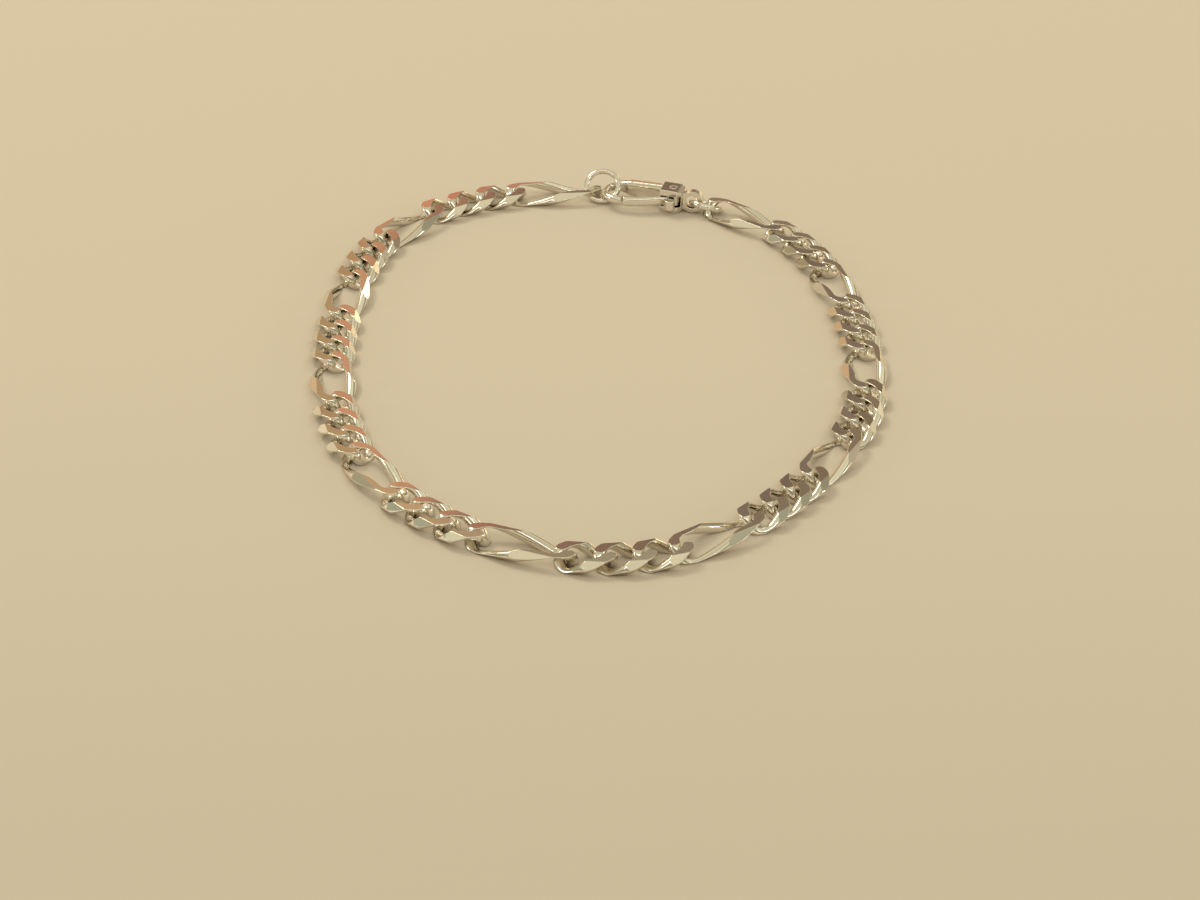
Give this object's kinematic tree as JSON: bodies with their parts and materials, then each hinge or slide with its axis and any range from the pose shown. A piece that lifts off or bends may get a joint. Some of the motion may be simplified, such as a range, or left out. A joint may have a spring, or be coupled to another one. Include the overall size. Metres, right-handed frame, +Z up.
{
  "type": "link bracelet",
  "caption": "Fastened figaro link bracelet in polished silver, lying flat as an oval loop, with long and short flattened twisted links closed by a lobster clasp with a sprung lever.",
  "frame": {"origin": "centre of the bounding box at its bottom, on the surface that the bracelet lies on, inside the loop", "axes": "+Z up from the surface, +Y along the loop's long axis towards the clasp, +X to the right when looking along +Y"},
  "size_m": [0.055, 0.0802, 0.003],
  "materials": {
    "long_links": "polished sterling silver with faceted flats",
    "short_links": "polished sterling silver with faceted flats",
    "rings": "polished sterling silver wire",
    "clasp_body": "polished cast sterling silver",
    "clasp_lever": "polished cast sterling silver"
  },
  "bodies": {
    "bracelet": {"long_link_1": "long_links", "long_link_2": "long_links", "long_link_3": "long_links", "long_link_4": "long_links", "long_link_5": "long_links", "long_link_6": "long_links", "long_link_7": "long_links", "long_link_8": "long_links", "long_link_9": "long_links", "long_link_10": "long_links", "long_link_11": "long_links", "short_link_1": "short_links", "short_link_2": "short_links", "short_link_3": "short_links", "short_link_4": "short_links", "short_link_5": "short_links", "short_link_6": "short_links", "short_link_7": "short_links", "short_link_8": "short_links", "short_link_9": "short_links", "short_link_10": "short_links", "short_link_11": "short_links", "short_link_12": "short_links", "short_link_13": "short_links", "short_link_14": "short_links", "short_link_15": "short_links", "short_link_16": "short_links", "short_link_17": "short_links", "short_link_18": "short_links", "short_link_19": "short_links", "short_link_20": "short_links", "short_link_21": "short_links", "short_link_22": "short_links", "short_link_23": "short_links", "short_link_24": "short_links", "short_link_25": "short_links", "short_link_26": "short_links", "short_link_27": "short_links", "short_link_28": "short_links", "short_link_29": "short_links", "short_link_30": "short_links", "jump_ring": "rings", "end_ring": "rings", "clasp_body": "clasp_body"},
    "lever": {"clasp_lever": "clasp_lever"}
  },
  "joints": [
    {"name": "lever_pivot", "type": "hinge", "parent": "bracelet", "child": "lever", "pos_m": [0.00749, 0.03639, 0.00125], "axis": [0, 0, -1], "range_deg": [0, 18], "stiffness_Nm_per_rad": 0.004, "springref_deg": -17.19}
  ]
}
